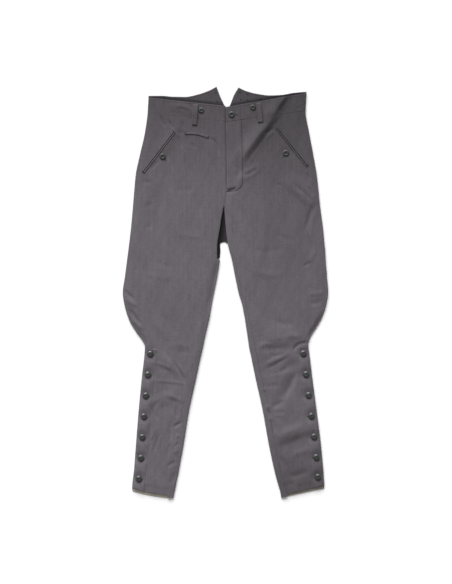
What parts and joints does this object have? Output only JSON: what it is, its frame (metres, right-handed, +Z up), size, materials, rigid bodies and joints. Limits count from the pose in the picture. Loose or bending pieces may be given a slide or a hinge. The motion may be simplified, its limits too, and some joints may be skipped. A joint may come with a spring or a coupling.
{
  "type": "historic costume breeches",
  "caption": "Grey cotton twill riding breeches laid flat, with a fishtail back, button fly, slash pockets, flared thighs and buttoned lower legs.",
  "frame": {"origin": "middle of the bounding box at the underside, on the surface that the garment lies on", "axes": "+Y towards the waist, +Z up out of the front of the garment, +X towards the wearer's left leg, on the viewer's right"},
  "size_m": [0.544, 1.0886, 0.0134],
  "materials": {
    "grey_twill": "matt cotton twill, grey with a faint violet cast",
    "khaki_facing": "matt plain cotton",
    "dark_button": "dark, half shiny, dished"
  },
  "bodies": {
    "root": {"front_right": "grey_twill", "back_right": "grey_twill", "waistband_front_right": "grey_twill", "waistband_back_right": "grey_twill", "belt_loop_right": "grey_twill", "pocket_jet_inner_right": "grey_twill", "pocket_jet_outer_right": "grey_twill", "leg_placket_right": "grey_twill", "hem_facing_right": "khaki_facing", "button_brace_right": "dark_button", "button_pocket_right": "dark_button", "button_leg_right_1": "dark_button", "button_leg_right_2": "dark_button", "button_leg_right_3": "dark_button", "button_leg_right_4": "dark_button", "button_leg_right_5": "dark_button", "button_leg_right_6": "dark_button", "button_leg_right_7": "dark_button", "front_left": "grey_twill", "back_left": "grey_twill", "waistband_front_left": "grey_twill", "waistband_back_left": "grey_twill", "belt_loop_left": "grey_twill", "pocket_jet_inner_left": "grey_twill", "pocket_jet_outer_left": "grey_twill", "leg_placket_left": "grey_twill", "hem_facing_left": "khaki_facing", "button_brace_left": "dark_button", "button_pocket_left": "dark_button", "button_leg_left_1": "dark_button", "button_leg_left_2": "dark_button", "button_leg_left_3": "dark_button", "button_leg_left_4": "dark_button", "button_leg_left_5": "dark_button", "button_leg_left_6": "dark_button", "button_leg_left_7": "dark_button", "fly": "grey_twill", "watch_pocket_welt": "grey_twill", "button_waist": "dark_button"}
  },
  "joints": []
}
